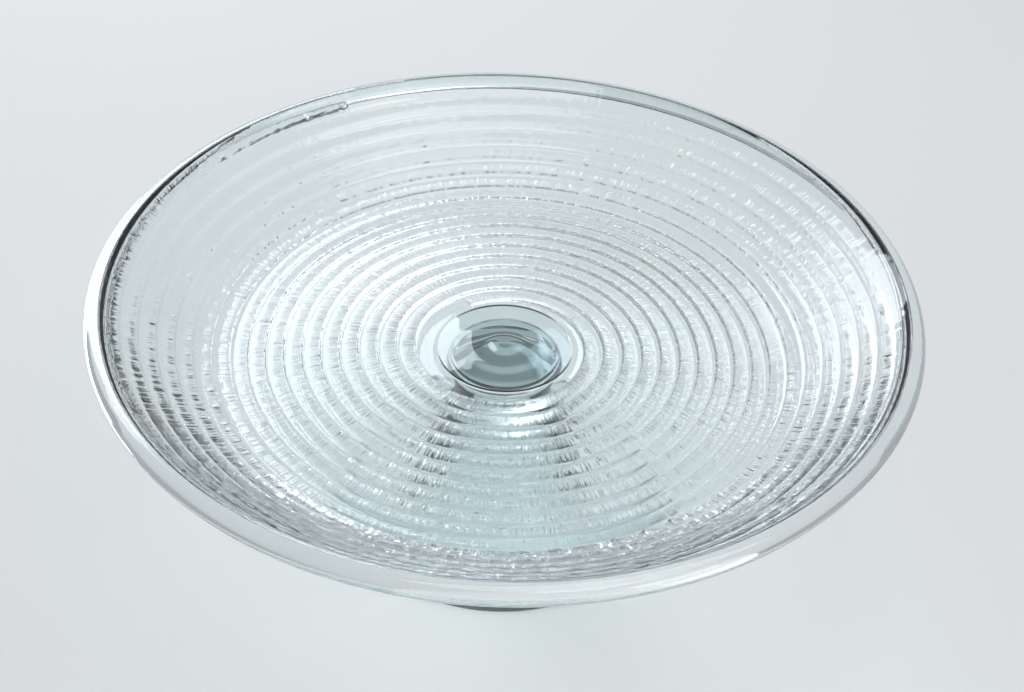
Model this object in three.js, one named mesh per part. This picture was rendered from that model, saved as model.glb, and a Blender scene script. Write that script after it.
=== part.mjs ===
// Footed glass dish. A shallow round bowl carries one long spiral of low terraces on its
// inner face, a smooth disc in its middle and a rounded bead round its rim. A wafer of
// glass joins it to a hollow flared foot.
// Millimetres, +Z up. The origin is the middle of the resting plane.
import * as THREE from 'three';
import { mergeVertices } from 'three/addons/utils/BufferGeometryUtils.js';

// Driving dimensions of the bowl
const RIM_RADIUS = 150; // to the outside of the bead
const BOWL_DEPTH = 30; // from the flat floor up to the edge of the wall
const FLAT_RADIUS = 97; // the floor is flat out to here
const WALL_CURVE = 1.5; // power of the wall's rise
const BOWL_WALL = 5; // thickness of the glass, square to the surface

// Driving dimensions of the spiral terraces
const TURNS = 17;
const TERRACE_RISE = 1.1; // height of the step at each turn
const RISER_SHARE = 0.18; // part of a turn's width that the step takes
const SPIRAL_CROWDING = 0.12; // how much closer the turns lie near the rim
const SPIRAL_MARGIN = 1.2; // plain glass inside the first turn and outside the last
const RUN_OUT_TURNS = 0.5; // length over which the step starts and dies away
const SPIRAL_END_ANGLE = THREE.MathUtils.degToRad(240); // clockwise from +X, from above

// Driving dimensions of the bead, the disc and the wafer
const BEAD_DEPTH = 5; // radial
const BEAD_HEIGHT = 8;
const DISC_RADIUS = 25;
const DISC_EDGE_HEIGHT = 2.2;
const DISC_CROWN = 1.3;
const DISC_SEAT_DEPTH = 2; // how deep the disc is let into the floor
const WAFER_RADIUS = 21;
const WAFER_THICKNESS = 6;
const WAFER_ROUNDING = 2.5; // radial depth of its round edge

// Driving dimensions of the foot
const FOOT_HEIGHT = 66;
const FOOT_RADIUS = 63;
const FOOT_NECK_RADIUS = 19;
const FOOT_NECK_WALL = 5;
const FOOT_ROOF = 8; // solid glass above the hollow
const FOOT_FLARE = 2.5; // power of the trumpet's curve
const FOOT_RING_WIDTH = 8; // from the hollow's mouth to the outside
const FOOT_LIP_HEIGHT = 5;
const FOOT_LIP_ROUNDING = 2.5;

// Clearance at every seam, and fineness of the round shapes
const SEAM_GAP = 0.3;
const SEGMENTS = 48;
const FLARE_STEPS = 8;
const ROUND_STEPS = 6;
const WALL_STEPS = 6;

// Heights and radii that follow from the sizes above
const waferBottom = FOOT_HEIGHT + SEAM_GAP;
const bowlBottom = waferBottom + WAFER_THICKNESS + SEAM_GAP;
const floorTop = bowlBottom + BOWL_WALL;
const beadInner = RIM_RADIUS - BEAD_DEPTH;
const edgeRadius = beadInner - SEAM_GAP;
const seatRadius = DISC_RADIUS + SEAM_GAP;

// Height of the bowl's plain inner face: flat, then a power curve up to the edge.
function innerHeight(radius) {
  const reach = Math.max(0, (radius - FLAT_RADIUS) / (edgeRadius - FLAT_RADIUS));
  return floorTop + BOWL_DEPTH * reach ** WALL_CURVE;
}

// The outer face lies one wall below the inner one, measured square to the slope.
function outerHeight(radius) {
  const span = edgeRadius - FLAT_RADIUS;
  const reach = Math.max(0, (radius - FLAT_RADIUS) / span);
  const slope = (BOWL_DEPTH * WALL_CURVE * reach ** (WALL_CURVE - 1)) / span;
  return innerHeight(radius) - BOWL_WALL * Math.hypot(1, slope);
}

// Radius of the spiral after so many turns. The turns crowd a little towards the rim.
function spiralRadius(turn) {
  const share = turn / (TURNS + RISER_SHARE);
  const start = seatRadius + SPIRAL_MARGIN;
  const end = edgeRadius - SPIRAL_MARGIN;
  return start + (end - start) * (share + SPIRAL_CROWDING * share * (1 - share));
}

// The step grows from nothing at the first turn and dies away at the last.
function terraceRise(turn) {
  const left = TURNS + RISER_SHARE - turn;
  return TERRACE_RISE * Math.min(1, turn / RUN_OUT_TURNS, left / RUN_OUT_TURNS);
}

// One closed body: shared corners merged, empty triangles dropped, faces turned outwards.
function closedBody(geometry) {
  geometry.deleteAttribute('normal');
  geometry.deleteAttribute('uv');
  const merged = mergeVertices(geometry, 1e-4);
  const corners = merged.getAttribute('position');
  const old = merged.getIndex().array;
  const kept = [];
  const [a, b, c] = [new THREE.Vector3(), new THREE.Vector3(), new THREE.Vector3()];
  let volume = 0;
  for (let i = 0; i < old.length; i += 3) {
    const [p, q, r] = [old[i], old[i + 1], old[i + 2]];
    if (p === q || q === r || r === p) continue;
    kept.push(p, q, r);
    a.fromBufferAttribute(corners, p);
    b.fromBufferAttribute(corners, q);
    c.fromBufferAttribute(corners, r);
    volume += a.dot(b.cross(c));
  }
  merged.setIndex(volume < 0 ? kept.reverse() : kept);
  merged.computeVertexNormals();
  return merged;
}

// A profile of [radius, height] pairs turned about the Z axis.
function turned(profile) {
  const points = profile.map(([radius, height]) => new THREE.Vector2(radius, height));
  const geometry = new THREE.LatheGeometry(points, SEGMENTS);
  geometry.rotateX(Math.PI / 2);
  return closedBody(geometry);
}

// Half an ellipse that bulges outwards from radius, from one height to another.
function roundedEdge(radius, depth, from, to, steps) {
  const middle = (from + to) / 2;
  const half = (to - from) / 2;
  return Array.from({ length: steps + 1 }, (_, i) => {
    const angle = (Math.PI * i) / steps;
    return [radius + depth * Math.sin(angle), middle - half * Math.cos(angle)];
  });
}

// The bowl: a grid whose rows follow the spiral, two rows to a turn, one at the foot of
// the step and one at its top. The end of each row is the start of the row two further
// out, so the step is one unbroken line from the disc to the rim.
function bowlGeometry() {
  const positions = [];
  const faces = [];
  const point = (radius, column, height) => {
    const angle = SPIRAL_END_ANGLE + (2 * Math.PI * column) / SEGMENTS;
    positions.push(radius * Math.cos(angle), -radius * Math.sin(angle), height);
    return positions.length / 3 - 1;
  };
  const ring = (radius, height) => {
    const columns = Array.from({ length: SEGMENTS }, (_, i) => point(radius, i, height));
    return [...columns, columns[0]];
  };
  const quad = (inA, inB, outB, outA) => {
    faces.push(inA, inB, outB, inA, outB, outA);
  };
  const band = (from, to, first = 0, last = SEGMENTS) => {
    for (let i = first; i < last; i += 1) quad(from[i], from[i + 1], to[i + 1], to[i]);
  };
  const fan = (hub, corners) => {
    for (let i = 0; i + 1 < corners.length; i += 1) {
      faces.push(hub, corners[i], corners[i + 1]);
    }
  };

  const terraceRows = 2 * TURNS;
  const spiralPoint = (row, column) => {
    const step = row % 2;
    const turn = Math.floor(row / 2) + step * RISER_SHARE + column / SEGMENTS;
    const radius = spiralRadius(turn);
    return point(radius, column, innerHeight(radius) + step * terraceRise(turn));
  };
  const rows = Array.from({ length: terraceRows }, (_, row) =>
    Array.from({ length: SEGMENTS }, (_, column) => spiralPoint(row, column)));
  rows.forEach((row, i) => {
    row.push(i + 2 < terraceRows ? rows[i + 2][0] : spiralPoint(i, SEGMENTS));
  });

  const seatCentre = point(0, 0, floorTop - DISC_SEAT_DEPTH);
  const seatFloor = ring(seatRadius, floorTop - DISC_SEAT_DEPTH);
  const seatEdge = ring(seatRadius, floorTop);
  for (let i = 0; i < SEGMENTS; i += 1) {
    faces.push(seatCentre, seatFloor[i + 1], seatFloor[i]);
  }
  band(seatFloor, seatEdge);

  // The first turn leaves the seat's edge where its end meets its own beginning.
  const before = SEGMENTS - 1;
  band(seatEdge, rows[0], 0, before);
  fan(rows[0][before], [seatEdge[before], seatEdge[0], rows[0][0], rows[1][0], rows[2][0]]);
  for (let i = 0; i + 1 < terraceRows; i += 1) band(rows[i], rows[i + 1]);

  // The last turn runs out into the bowl's edge.
  const topEdge = ring(edgeRadius, innerHeight(edgeRadius));
  const last = rows[terraceRows - 1];
  const beside = rows[terraceRows - 2];
  fan(last[1], [topEdge[1], topEdge[0], last[SEGMENTS], beside[SEGMENTS], last[0]]);
  band(last, topEdge, 1);

  let previous = topEdge;
  for (let i = WALL_STEPS; i >= 0; i -= 1) {
    const radius = FLAT_RADIUS + ((edgeRadius - FLAT_RADIUS) * i) / WALL_STEPS;
    const next = ring(radius, outerHeight(radius));
    band(previous, next);
    previous = next;
  }
  const bottomCentre = point(0, 0, bowlBottom);
  for (let i = 0; i < SEGMENTS; i += 1) {
    faces.push(previous[i], previous[i + 1], bottomCentre);
  }

  const geometry = new THREE.BufferGeometry();
  geometry.setAttribute('position', new THREE.Float32BufferAttribute(positions, 3));
  geometry.setIndex(faces);
  return closedBody(geometry);
}

// The bead: a D-shaped section that closes the wall's edge all the way round.
function beadGeometry() {
  const middle = (innerHeight(edgeRadius) + outerHeight(edgeRadius)) / 2;
  const low = middle - BEAD_HEIGHT / 2;
  const section = roundedEdge(beadInner, BEAD_DEPTH, low, low + BEAD_HEIGHT, ROUND_STEPS + 2);
  return turned([...section, section[0]]);
}

// The disc: flat underneath, gently crowned on top, let into the bowl's floor.
function discGeometry() {
  const bottom = floorTop - DISC_SEAT_DEPTH + SEAM_GAP;
  const edge = bottom + DISC_EDGE_HEIGHT;
  const crown = Array.from({ length: ROUND_STEPS + 1 }, (_, i) => {
    const share = 1 - i / ROUND_STEPS;
    return [DISC_RADIUS * share, edge + DISC_CROWN * (1 - share ** 2)];
  });
  return turned([[0, bottom], [DISC_RADIUS, bottom], ...crown]);
}

// The wafer: a thick button of glass with a round edge, between the foot and the bowl.
function waferGeometry() {
  const top = waferBottom + WAFER_THICKNESS;
  const inner = WAFER_RADIUS - WAFER_ROUNDING;
  const edge = roundedEdge(inner, WAFER_ROUNDING, waferBottom, top, ROUND_STEPS);
  return turned([[0, waferBottom], ...edge, [0, top]]);
}

// The foot: a hollow trumpet, open underneath, standing on a flat ring.
function footGeometry() {
  const ceiling = FOOT_HEIGHT - FOOT_ROOF;
  const hollowTop = FOOT_NECK_RADIUS - FOOT_NECK_WALL;
  const hollowMouth = FOOT_RADIUS - FOOT_RING_WIDTH;
  const flare = (from, to, narrow, wide) =>
    Array.from({ length: FLARE_STEPS + 1 }, (_, i) => {
      const share = i / FLARE_STEPS;
      const radius = narrow + (wide - narrow) * (1 - share) ** FOOT_FLARE;
      return [radius, from + (to - from) * share];
    });
  const hollow = flare(0, ceiling, hollowTop, hollowMouth).reverse();
  const lipRadius = FOOT_RADIUS - FOOT_LIP_ROUNDING;
  const lip = roundedEdge(lipRadius, FOOT_LIP_ROUNDING, 0, FOOT_LIP_HEIGHT, ROUND_STEPS);
  const outside = flare(FOOT_LIP_HEIGHT, FOOT_HEIGHT, FOOT_NECK_RADIUS, lipRadius);
  return turned([[0, ceiling], ...hollow, ...lip, ...outside.slice(1), [0, FOOT_HEIGHT]]);
}

// Clear glass, a little thicker and greyer to look through in the foot and the wafer.
function glass(color) {
  const settings = { color, roughness: 0.04, metalness: 0, transparent: true, opacity: 0.4 };
  return new THREE.MeshStandardMaterial(settings);
}

const dish = new THREE.Group();
const pieces = [
  ['bowl', bowlGeometry(), 0xdde8e6],
  ['rim_bead', beadGeometry(), 0xe6efee],
  ['centre_disc', discGeometry(), 0xd5e2ea],
  ['joining_wafer', waferGeometry(), 0xc8d4d2],
  ['foot', footGeometry(), 0xd0dcda],
];
for (const [name, geometry, color] of pieces) {
  const mesh = new THREE.Mesh(geometry, glass(color));
  mesh.name = name;
  dish.add(mesh);
}

export default dish;
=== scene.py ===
import math

import bpy
import numpy as np
from bpy.props import FloatProperty, FloatVectorProperty, IntProperty, PointerProperty
from mathutils import Matrix, Vector


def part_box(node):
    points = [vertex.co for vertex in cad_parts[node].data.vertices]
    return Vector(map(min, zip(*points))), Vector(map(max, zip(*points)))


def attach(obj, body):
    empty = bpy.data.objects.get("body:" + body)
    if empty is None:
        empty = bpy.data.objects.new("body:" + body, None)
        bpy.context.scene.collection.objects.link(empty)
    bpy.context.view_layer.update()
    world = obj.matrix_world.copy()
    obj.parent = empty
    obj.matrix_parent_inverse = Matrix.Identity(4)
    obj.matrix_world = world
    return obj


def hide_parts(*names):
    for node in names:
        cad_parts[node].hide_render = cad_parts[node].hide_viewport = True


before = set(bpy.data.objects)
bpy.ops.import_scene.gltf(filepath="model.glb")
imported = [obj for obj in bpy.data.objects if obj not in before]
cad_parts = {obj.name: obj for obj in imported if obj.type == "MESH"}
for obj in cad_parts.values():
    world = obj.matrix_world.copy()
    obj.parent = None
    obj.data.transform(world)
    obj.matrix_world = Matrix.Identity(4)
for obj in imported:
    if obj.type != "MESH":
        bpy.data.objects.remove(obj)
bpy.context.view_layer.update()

bl_info = {
    "name": "Footed glass dish",
    "version": (1, 0, 0),
    "blender": (4, 5, 0),
    "location": "View3D > Sidebar > Dish",
    "description": "A clear footed dish with a spiral of terraces on its inner face",
    "category": "Object",
}

# Corners of each piece's place, read from the frame, in metres
BOWL_LOW, BOWL_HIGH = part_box("bowl")
BEAD_LOW, BEAD_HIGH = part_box("rim_bead")
DISC_LOW, DISC_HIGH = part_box("centre_disc")
WAFER_LOW, WAFER_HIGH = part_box("joining_wafer")
FOOT_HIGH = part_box("foot")[1]

# Sizes of the bowl and its spiral
SEAM_GAP = 0.0003
SEAT_DEPTH = 0.002
SPIRAL_MARGIN = 0.0012
SPIRAL_CROWDING = 0.12
SPIRAL_END_ANGLE = math.radians(240)
RUN_OUT_TURNS = 0.5
FALL_POWER = 1.4
WALL_GAIN = 0.7

# Raggedness of the step: a sum of sines with so many waves in each turn
RAGGED_SEED = 7
RAGGED_SINES = 14
RAGGED_WAVES = (35, 140)
RAGGED_LEVEL = 0.85
RAGGED_DEPTH = 0.5

# Sizes of the disc, the wafer and the foot
DISC_CROWN = 0.0013
SWIRL_DEPTH = 0.00012
SWIRL_RINGS = 2.5
EDGE_ROUNDING = 0.0025
NECK_RADIUS = 0.019
NECK_WALL = 0.005
FOOT_LIP = 0.005
FOOT_FLARE = 2.5

# Fineness of the meshes. The rows across one turn crowd at the step, which ends at the
# fourth of them
SEGMENTS = 384
BOWL_COLUMNS = 600
TURN_PHASES = np.array([0.0, 0.06, 0.12, 0.18, 0.36, 0.6, 0.82])
STEP_TOP = TURN_PHASES[3]
UNDERSIDE_RINGS = 14
EDGE_STEPS = 24
LIP_STEPS = 16
CROWN_STEPS = 20
FLARE_STEPS = 40
SHARP_ANGLE = math.radians(55)

# Bump of each glass: depth of the radial wrinkles, then of the slow waves, in millimetres
BOWL_BUMP = (1.1, 0.12)
RIM_BUMP = (0.0, 0.1)
DISC_BUMP = (0.0, 0.2)
FOOT_BUMP = (0.0, 0.15)

# The camera: focal length and width of the picture in pixels, then its shift across and
# up and its distance from the middle of the bowl's floor, in rim radii
FOCAL_PIXELS = 1690
PICTURE_WIDTH = 1024
SENSOR_WIDTH = 36
CAMERA_ELEVATION = math.radians(39.82)
CAMERA_ROLL = math.radians(2.35)
CAMERA_PLACE = (-0.018, -0.003, 4.199)

# Each lamp's place, side, power and colour, and the world's colour and strength
LAMPS = {
    "window": ((-0.5, 1.1, 0.9), 0.7, 9.0, (0.86, 0.93, 1.0)),
    "overhead": ((0.3, -0.2, 1.4), 1.0, 7.0, (1.0, 0.99, 0.97)),
    "front": ((0.9, -1.0, 0.7), 0.5, 2.5, (1.0, 1.0, 1.0)),
}
WORLD_COLOUR = (0.8, 0.83, 0.86, 1)
WORLD_STRENGTH = 0.55
FLOOR_HALF = 4.0


class DishSizes(bpy.types.PropertyGroup):
    """Sizes and colours of the dish that a user would change."""
    bowl_depth: FloatProperty(
        name="Bowl depth", description="From the flat floor up to the wall's edge",
        default=0.030, unit="LENGTH")
    flat_radius: FloatProperty(
        name="Flat radius", description="The floor is flat out to here",
        default=0.097, unit="LENGTH")
    wall: FloatProperty(
        name="Glass thickness", description="Thickness of the bowl, square to its face",
        default=0.005, unit="LENGTH")
    wall_curve: FloatProperty(
        name="Wall curve", description="Power of the wall's rise", default=1.5)
    turns: IntProperty(name="Turns", description="Turns of the spiral", default=17)
    terrace_rise: FloatProperty(
        name="Terrace rise", description="Height of the step at each turn",
        default=0.0011, unit="LENGTH")
    foot_roof: FloatProperty(
        name="Foot roof", description="Solid glass above the foot's hollow",
        default=0.008, unit="LENGTH")
    foot_ring: FloatProperty(
        name="Foot ring", description="From the hollow's mouth to the foot's outside",
        default=0.008, unit="LENGTH")
    clear_tint: FloatVectorProperty(
        name="Clear tint", description="Colour of the glass", subtype="COLOR",
        default=(0.93, 0.97, 0.96))
    cool_tint: FloatVectorProperty(
        name="Cool tint", description="Colour of its bluer streaks", subtype="COLOR",
        default=(0.84, 0.91, 0.94))
    floor_tint: FloatVectorProperty(
        name="Floor tint", description="Colour of the floor", subtype="COLOR",
        default=(0.72, 0.72, 0.71))


class Value:
    """A shader socket with Python arithmetic: each operator adds one Math node."""

    def __init__(self, nodes, socket):
        self.nodes = nodes
        self.socket = socket

    def __add__(self, other):
        return self.nodes.math("ADD", self, other)

    def __mul__(self, other):
        return self.nodes.math("MULTIPLY", self, other)

    def __truediv__(self, other):
        return self.nodes.math("DIVIDE", self, other)

    def __rtruediv__(self, other):
        return self.nodes.math("DIVIDE", other, self)

    __radd__ = __add__
    __rmul__ = __mul__


class Nodes:
    """The node tree of one material, built by calls that name a node and its sockets."""

    def __init__(self, name):
        self.material = bpy.data.materials.new(name)
        self.material.use_nodes = True
        self.tree = self.material.node_tree
        self.tree.nodes.clear()

    def add(self, kind, settings=None, sockets=None):
        """Adds a node: its settings first, then the values or links of its sockets."""
        node = self.tree.nodes.new(kind)
        for name, setting in (settings or {}).items():
            setattr(node, name, setting)
        for name, given in (sockets or {}).items():
            if isinstance(given, Value):
                self.tree.links.new(given.socket, node.inputs[name])
            else:
                node.inputs[name].default_value = given
        return node

    def out(self, node, name):
        return Value(self, node.outputs[name])

    def math(self, operation, first, second=0.0):
        node = self.add("ShaderNodeMath", {"operation": operation}, {0: first, 1: second})
        return self.out(node, "Value")

    def noise(self, vector, scale, detail):
        """The height of a noise texture, from 0 to 1."""
        node = self.add("ShaderNodeTexNoise", None, {
            "Vector": vector, "Scale": scale, "Detail": detail})
        return self.out(node, "Fac")

    def mix(self, share, first, second):
        """A colour between two plain ones."""
        node = self.add("ShaderNodeMix", {"data_type": "RGBA"}, {
            0: share, 6: (*first, 1.0), 7: (*second, 1.0)})
        return Value(self, node.outputs[2])

    def finish(self, shader):
        self.add("ShaderNodeOutputMaterial", None, {"Surface": shader})
        return self.material


def glass(name, bump_depths):
    """Clear glass, faintly streaked. Its bump is a slow wave everywhere, plus radial
    wrinkles where the mesh's wrinkle attribute is above nothing: noise read at the unit
    direction from the axis times a count, so it closes on itself, and at the radius.
    The same attribute frosts the steps. Lamps shine through it."""
    wrinkle_count, wrinkle_stretch = 55.0, 45.0
    wave_scale = 28.0
    polish, wave_haze, frost = 0.015, 0.03, 0.22
    shadow_tint = (0.82, 0.85, 0.85, 1.0)
    wrinkle_depth, wave_depth = bump_depths
    sizes = bpy.context.scene.footed_dish
    nodes = Nodes(name)
    place = nodes.out(nodes.add("ShaderNodeTexCoord"), "Object")
    parts = nodes.add("ShaderNodeSeparateXYZ", None, {"Vector": place})
    x, y = nodes.out(parts, "X"), nodes.out(parts, "Y")
    radius = nodes.math("SQRT", x * x + y * y + 1e-8)
    ray = nodes.add("ShaderNodeCombineXYZ", None, {
        "X": x / radius * wrinkle_count, "Y": y / radius * wrinkle_count,
        "Z": radius * wrinkle_stretch})
    wrinkles = nodes.noise(nodes.out(ray, "Vector"), 1.0, 2.0)
    waves = nodes.noise(place, wave_scale, 1.5)
    fringe = nodes.out(nodes.add("ShaderNodeAttribute", {"attribute_name": "wrinkle"}), "Fac")
    bump = nodes.add("ShaderNodeBump", None, {
        "Height": wrinkles * fringe * wrinkle_depth + waves * wave_depth,
        "Strength": 1.0, "Distance": 0.001})
    surface = nodes.add("ShaderNodeBsdfPrincipled", None, {
        "Base Color": nodes.mix(waves, sizes.clear_tint, sizes.cool_tint),
        "Roughness": waves * wave_haze + polish + fringe * frost,
        "IOR": 1.5, "Transmission Weight": 1.0,
        "Normal": nodes.out(bump, "Normal")})
    see_through = nodes.add("ShaderNodeBsdfTransparent", None, {"Color": shadow_tint})
    path = nodes.add("ShaderNodeLightPath")
    mixed = nodes.add("ShaderNodeMixShader", None, {
        0: nodes.out(path, "Is Shadow Ray"), 1: nodes.out(surface, "BSDF"),
        2: nodes.out(see_through, "BSDF")})
    return nodes.finish(nodes.out(mixed, "Shader"))


def floor_paint():
    """Pale matt floor with a faint slow mottle."""
    mottle_scale, mottle_gain, mattness = 3.0, 1.03, 0.8
    tint = bpy.context.scene.footed_dish.floor_tint
    paler = tuple(min(1.0, part * mottle_gain) for part in tint)
    nodes = Nodes("floor_paint")
    place = nodes.out(nodes.add("ShaderNodeTexCoord"), "Object")
    mottle = nodes.noise(place, mottle_scale, 2.0)
    matt = nodes.add("ShaderNodeBsdfPrincipled", None, {
        "Base Color": nodes.mix(mottle, tint, paler), "Roughness": mattness})
    return nodes.finish(nodes.out(matt, "BSDF"))


def make_piece(name, points, faces, material, node):
    """A smooth closed mesh that stands for one CAD node and rides on the dish."""
    mesh = bpy.data.meshes.new(name)
    corners = [[int(corner) for corner in face] for face in faces]
    mesh.from_pydata(points.tolist(), [], corners)
    mesh.validate()
    mesh.shade_smooth()
    mesh.set_sharp_from_angle(angle=SHARP_ANGLE)
    mesh.materials.append(material)
    piece = bpy.data.objects.new(name, mesh)
    bpy.context.scene.collection.objects.link(piece)
    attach(piece, "root")
    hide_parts(node)
    return piece


def ring_faces(start, end):
    """Quads between rings of equal length, each given as an array of point numbers."""
    return np.stack([start, np.roll(start, -1), np.roll(end, -1), end], axis=1).tolist()


def strip_faces(start, end):
    """Quads between open rows of equal length, each an array of point numbers."""
    return np.stack([start[:-1], start[1:], end[1:], end[:-1]], axis=1).tolist()


def fans(low_hub, low_ring, high_hub, high_ring):
    """Triangles that close a shape's first ring and its last, each round its own hub."""
    low = [[low_hub, b, a] for a, b in zip(low_ring, np.roll(low_ring, -1))]
    high = [[high_hub, a, b] for a, b in zip(high_ring, np.roll(high_ring, -1))]
    return low + high


def revolved(profile, closed=False):
    """A profile of radius and height turned about the Z axis: the point at angle a is
    (radius cos a, radius sin a, height). An end on the axis is one point with a fan."""
    profile = np.asarray(profile, dtype=float)
    angle = np.arange(SEGMENTS) * (2 * math.pi / SEGMENTS)
    rings = profile if closed else profile[1:-1]
    radius, height = rings[:, :1], rings[:, 1:]
    grid = np.stack([radius * np.cos(angle), radius * np.sin(angle),
                     np.broadcast_to(height, (len(rings), SEGMENTS))], axis=2)
    points = grid.reshape(-1, 3)
    number = np.arange(len(points)).reshape(len(rings), SEGMENTS)
    faces = []
    for low, high in zip(number[:-1], number[1:]):
        faces += ring_faces(low, high)
    if closed:
        faces += ring_faces(number[-1], number[0])
        return points, faces
    poles = np.array([[0, 0, profile[0, 1]], [0, 0, profile[-1, 1]]])
    faces += fans(len(points), number[0], len(points) + 1, number[-1])
    return np.vstack([points, poles]), faces


def round_edge(radius, depth, low, high, steps=EDGE_STEPS):
    """Half an ellipse that bulges outwards: radius plus depth sin a, from low to high."""
    angle = np.linspace(0, math.pi, steps)
    middle, half = (low + high) / 2, (high - low) / 2
    return np.stack([radius + depth * np.sin(angle), middle - half * np.cos(angle)], axis=1)


def inner_height(sizes, radius):
    """The bowl's plain inner face: the floor plus the depth times the share of the wall's
    reach, raised to the wall's power."""
    floor = BOWL_LOW[2] + sizes.wall
    span = BOWL_HIGH[0] - sizes.flat_radius
    reach = np.clip((radius - sizes.flat_radius) / span, 0, None)
    return floor + sizes.bowl_depth * reach ** sizes.wall_curve


def outer_height(sizes, radius):
    """The bowl's outer face: one wall below the inner one, square to its slope."""
    span = BOWL_HIGH[0] - sizes.flat_radius
    reach = np.clip((radius - sizes.flat_radius) / span, 0, None)
    slope = sizes.bowl_depth * sizes.wall_curve * reach ** (sizes.wall_curve - 1) / span
    return inner_height(sizes, radius) - sizes.wall * np.hypot(1, slope)


def spiral_grid(sizes):
    """The terraces as a grid of points whose rows follow the spiral, and how wrinkled each
    is. The radius runs evenly from the disc to the edge, but for a little crowding at the
    rim. Across a turn the step rises as a smooth ramp and falls back as a power curve, and
    its height is made ragged by a mean of sines along the spiral."""
    turns, per_turn = sizes.turns, len(TURN_PHASES)
    edge = BOWL_HIGH[0]
    total = turns + TURN_PHASES[-1]
    column = np.arange(BOWL_COLUMNS + 1)
    phase = np.tile(TURN_PHASES, turns)
    turn = (np.arange(per_turn * turns) // per_turn + phase)[:, None]
    turn = turn + column[None, :] / BOWL_COLUMNS
    phase = phase[:, None] * np.ones(BOWL_COLUMNS + 1)

    share = turn / total
    start = DISC_HIGH[0] + SEAM_GAP + SPIRAL_MARGIN
    crowded = share + SPIRAL_CROWDING * share * (1 - share)
    radius = start + (edge - SPIRAL_MARGIN - start) * crowded
    ramp = np.clip(phase / STEP_TOP, 0, 1)
    fall = np.clip((1 - phase) / (1 - STEP_TOP), 0, 1)
    step = ramp * ramp * (3 - 2 * ramp) * fall ** FALL_POWER
    fade = np.clip(np.minimum(turn, total - turn) / RUN_OUT_TURNS, 0, 1)

    draw = np.random.default_rng(RAGGED_SEED)
    waves = draw.uniform(*RAGGED_WAVES, RAGGED_SINES)
    offset = draw.uniform(0, 2 * math.pi, RAGGED_SINES)
    ragged = np.sin(2 * math.pi * turn[..., None] * waves + offset).mean(axis=2)
    wall_share = np.clip((radius - sizes.flat_radius) / (edge - sizes.flat_radius), 0, 1)
    rise = sizes.terrace_rise * (1 + WALL_GAIN * wall_share)
    uneven = RAGGED_LEVEL + RAGGED_DEPTH * ragged
    height = inner_height(sizes, radius) + rise * step * fade * uneven
    angle = SPIRAL_END_ANGLE + 2 * math.pi * column / BOWL_COLUMNS
    grid = np.stack([radius * np.cos(angle), -radius * np.sin(angle), height], axis=2)
    return grid, step * fade


def bowl_mesh(sizes):
    """Points, faces and wrinkle strength of the bowl. The end of each row of the spiral is
    the start of the row one turn further out, so the step is one unbroken line. Plain
    rings make the disc's seat, the edge and the underside."""
    grid, wrinkled = spiral_grid(sizes)
    per_turn, row_count = len(TURN_PHASES), len(grid)
    floor = BOWL_LOW[2] + sizes.wall
    edge, seat = BOWL_HIGH[0], DISC_HIGH[0] + SEAM_GAP
    count = row_count * BOWL_COLUMNS
    number = np.arange(count).reshape(row_count, BOWL_COLUMNS)
    spare = count + np.arange(per_turn)
    number = np.hstack([number, np.concatenate([number[per_turn:, 0], spare])[:, None]])
    points = [grid[:, :-1].reshape(-1, 3), grid[-per_turn:, -1]]
    around = SPIRAL_END_ANGLE + 2 * math.pi * np.arange(BOWL_COLUMNS) / BOWL_COLUMNS

    def ring(radius, height):
        first_point = sum(len(part) for part in points)
        points.append(np.stack([radius * np.cos(around), -radius * np.sin(around),
                                np.full(BOWL_COLUMNS, height)], axis=1))
        return np.arange(first_point, first_point + BOWL_COLUMNS)

    faces = []
    for low, high in zip(number[:-1], number[1:]):
        faces += strip_faces(low, high)
    seat_floor = ring(seat, floor - SEAT_DEPTH)
    seat_edge = ring(seat, floor)
    top_edge = ring(edge, float(inner_height(sizes, edge)))
    faces += ring_faces(seat_floor, seat_edge)
    first, last = number[0], number[-1]
    faces += strip_faces(seat_edge, first[:-1])
    faces.append([seat_edge[-1], seat_edge[0], *number[:per_turn + 1, 0], first[-2]])
    faces += strip_faces(last[1:], np.append(top_edge[1:], top_edge[0]))
    faces.append([last[0], last[1], top_edge[1], top_edge[0],
                  *number[-per_turn:, -1][::-1]])
    previous = top_edge
    for reach in np.linspace(1, 0, UNDERSIDE_RINGS):
        radius = sizes.flat_radius + (edge - sizes.flat_radius) * reach
        following = ring(radius, float(outer_height(sizes, radius)))
        faces += ring_faces(previous, following)
        previous = following

    hub = sum(len(part) for part in points)
    points.append(np.array([[0, 0, floor - SEAT_DEPTH], [0, 0, BOWL_LOW[2]]]))
    faces += fans(hub, seat_floor, hub + 1, previous)
    strength = np.zeros(hub + 2)
    strength[:count] = wrinkled[:, :-1].ravel()
    return np.vstack(points), faces, strength


class DISH_OT_bowl(bpy.types.Operator):
    """Make the bowl with its spiral of terraces"""
    bl_idname = "footed_dish.bowl"
    bl_label = "Bowl"

    def execute(self, context):
        points, faces, strength = bowl_mesh(context.scene.footed_dish)
        piece = make_piece("terraced_bowl", points, faces, glass("wrinkled_glass", BOWL_BUMP),
                           "bowl")
        wrinkle = piece.data.attributes.new("wrinkle", "FLOAT", "POINT")
        wrinkle.data.foreach_set("value", strength.astype(np.float32))
        return {"FINISHED"}


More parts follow.
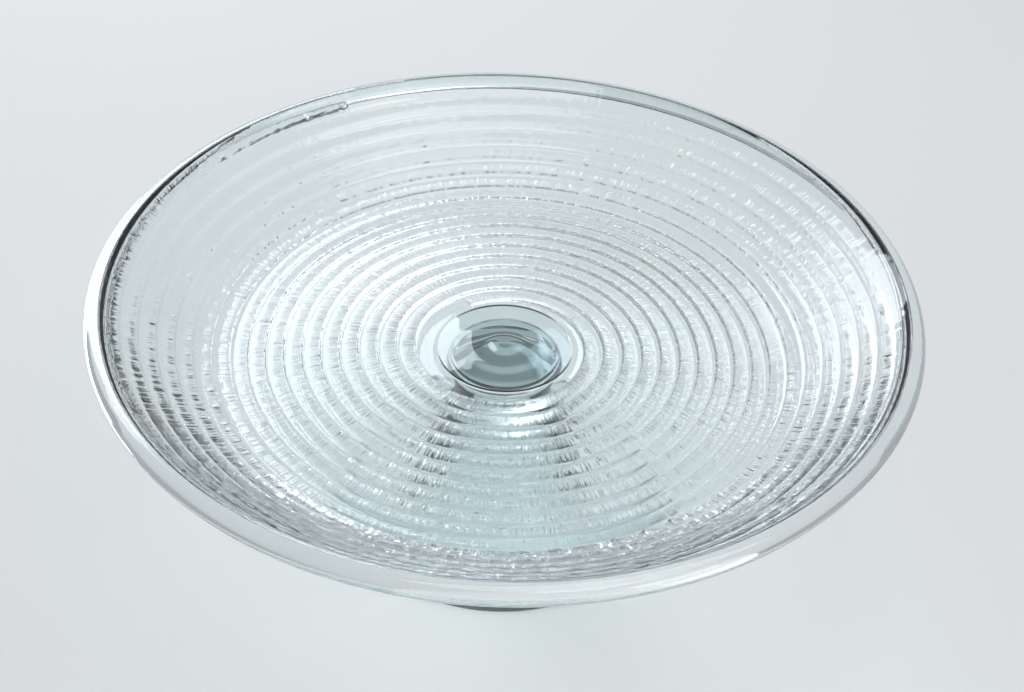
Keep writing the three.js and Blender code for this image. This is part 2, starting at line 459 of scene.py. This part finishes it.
class DISH_OT_rim(bpy.types.Operator):
    """Make the rounded bead round the rim"""
    bl_idname = "footed_dish.rim"
    bl_label = "Rim bead"

    def execute(self, context):
        inner = BOWL_HIGH[0] + SEAM_GAP
        section = round_edge(inner, BEAD_HIGH[0] - inner, BEAD_LOW[2], BEAD_HIGH[2])
        points, faces = revolved(section, closed=True)
        make_piece("rounded_rim", points, faces, glass("rim_glass", RIM_BUMP),
                   "rim_bead")
        return {"FINISHED"}


class DISH_OT_disc(bpy.types.Operator):
    """Make the smooth disc in the middle of the floor"""
    bl_idname = "footed_dish.disc"
    bl_label = "Centre disc"

    def execute(self, context):
        radius, low, high = DISC_HIGH[0], DISC_LOW[2], DISC_HIGH[2]
        share = np.linspace(1, 0, CROWN_STEPS)
        swirl = SWIRL_DEPTH * np.sin(share * 2 * SWIRL_RINGS * math.pi) * (1 - share)
        top = np.stack([radius * share, high - DISC_CROWN * share ** 2 + swirl], axis=1)
        points, faces = revolved(np.vstack([[[0, low], [radius, low]], top]))
        make_piece("smooth_disc", points, faces, glass("disc_glass", DISC_BUMP),
                   "centre_disc")
        return {"FINISHED"}


def foot_profile(sizes):
    """Outline of the foot. The hollow and the outside each narrow from the base to the
    neck as one minus the share of the height, to the flare's power."""
    height, wide = FOOT_HIGH[2], FOOT_HIGH[0]
    share = np.linspace(0, 1, FLARE_STEPS)
    narrowing = (1 - share) ** FOOT_FLARE
    hollow_top, mouth = NECK_RADIUS - NECK_WALL, wide - sizes.foot_ring
    ceiling = height - sizes.foot_roof
    hollow = np.stack([hollow_top + (mouth - hollow_top) * narrowing, ceiling * share],
                      axis=1)[::-1]
    lip_radius = wide - EDGE_ROUNDING
    outside = np.stack([NECK_RADIUS + (lip_radius - NECK_RADIUS) * narrowing,
                        FOOT_LIP + (height - FOOT_LIP) * share], axis=1)
    lip = round_edge(lip_radius, EDGE_ROUNDING, 0, FOOT_LIP, LIP_STEPS)
    return np.vstack([[[0, ceiling]], hollow, lip, outside[1:], [[0, height]]])


class DISH_OT_foot(bpy.types.Operator):
    """Make the hollow flared foot and the wafer that joins it to the bowl"""
    bl_idname = "footed_dish.foot"
    bl_label = "Foot and wafer"

    def execute(self, context):
        material = glass("foot_glass", FOOT_BUMP)
        low, high = WAFER_LOW[2], WAFER_HIGH[2]
        edge = round_edge(WAFER_HIGH[0] - EDGE_ROUNDING, EDGE_ROUNDING, low, high)
        points, faces = revolved(np.vstack([[[0, low]], edge, [[0, high]]]))
        make_piece("glass_wafer", points, faces, material, "joining_wafer")
        points, faces = revolved(foot_profile(context.scene.footed_dish))
        make_piece("flared_foot", points, faces, material, "foot")
        return {"FINISHED"}


class DISH_OT_stage(bpy.types.Operator):
    """Make the floor, the lamps, the world and the camera"""
    bl_idname = "footed_dish.stage"
    bl_label = "Stage"

    def execute(self, context):
        scene = context.scene
        self.floor(scene)
        for name, (place, side, watts, colour) in LAMPS.items():
            self.lamp(scene, name, place, side, watts, colour)
        world = bpy.data.worlds.new("studio")
        world.use_nodes = True
        background = world.node_tree.nodes["Background"]
        background.inputs["Color"].default_value = WORLD_COLOUR
        background.inputs["Strength"].default_value = WORLD_STRENGTH
        scene.world = world
        self.camera(scene)
        scene.view_settings.view_transform = "Standard"
        return {"FINISHED"}

    def floor(self, scene):
        near, far = -FLOOR_HALF, FLOOR_HALF
        corners = [(near, near, 0), (far, near, 0), (far, far, 0), (near, far, 0)]
        mesh = bpy.data.meshes.new("floor")
        mesh.from_pydata(corners, [], [[0, 1, 2, 3]])
        mesh.materials.append(floor_paint())
        floor = bpy.data.objects.new("floor", mesh)
        scene.collection.objects.link(floor)

    def lamp(self, scene, name, place, side, watts, colour):
        """A square lamp that faces the underside of the bowl's middle."""
        lamp = bpy.data.lights.new(name, "AREA")
        lamp.energy = watts
        lamp.size = side
        lamp.color = colour
        holder = bpy.data.objects.new(name, lamp)
        away = Vector(place) - Vector((0, 0, BOWL_LOW[2]))
        turn = away.to_track_quat("Z", "Y").to_matrix().to_4x4()
        holder.matrix_world = Matrix.Translation(place) @ turn
        scene.collection.objects.link(holder)

    def camera(self, scene):
        """Places the camera by its elevation, roll and distance from the middle of the
        bowl's floor. Its right and up are turned about its line of sight by the roll."""
        across, upward, away = CAMERA_PLACE
        sin_e, cos_e = math.sin(CAMERA_ELEVATION), math.cos(CAMERA_ELEVATION)
        sin_r, cos_r = math.sin(CAMERA_ROLL), math.cos(CAMERA_ROLL)
        right = np.array([cos_r, sin_r * sin_e, sin_r * cos_e])
        up = np.array([-sin_r, cos_r * sin_e, cos_r * cos_e])
        forward = np.array([0, cos_e, -sin_e])
        middle = np.array([0, 0, BOWL_LOW[2] + scene.footed_dish.wall])
        place = middle - BEAD_HIGH[0] * (across * right + upward * up + away * forward)
        lens = bpy.data.cameras.new("camera")
        lens.sensor_width = SENSOR_WIDTH
        lens.lens = SENSOR_WIDTH * FOCAL_PIXELS / PICTURE_WIDTH
        holder = bpy.data.objects.new("camera", lens)
        turned = np.eye(4)
        turned[:3] = np.stack([right, up, -forward, place], axis=1)
        holder.matrix_world = Matrix(turned.tolist())
        scene.collection.objects.link(holder)
        scene.camera = holder


OPERATORS = (DISH_OT_bowl, DISH_OT_rim, DISH_OT_disc, DISH_OT_foot, DISH_OT_stage)


class DISH_PT_panel(bpy.types.Panel):
    """Sizes of the dish and a button for each of its pieces"""
    bl_label = "Footed dish"
    bl_idname = "DISH_PT_panel"
    bl_space_type = "VIEW_3D"
    bl_region_type = "UI"
    bl_category = "Dish"

    def draw(self, context):
        for name in DishSizes.__annotations__:
            self.layout.prop(context.scene.footed_dish, name)
        for operator in OPERATORS:
            self.layout.operator(operator.bl_idname)


CLASSES = (DishSizes, *OPERATORS, DISH_PT_panel)


def register():
    for cls in CLASSES:
        bpy.utils.register_class(cls)
    bpy.types.Scene.footed_dish = PointerProperty(type=DishSizes)


def unregister():
    del bpy.types.Scene.footed_dish
    for cls in reversed(CLASSES):
        bpy.utils.unregister_class(cls)


def main():
    register()
    bpy.ops.footed_dish.bowl()
    bpy.ops.footed_dish.rim()
    bpy.ops.footed_dish.disc()
    bpy.ops.footed_dish.foot()
    bpy.ops.footed_dish.stage()


if __name__ == "__main__":
    main()
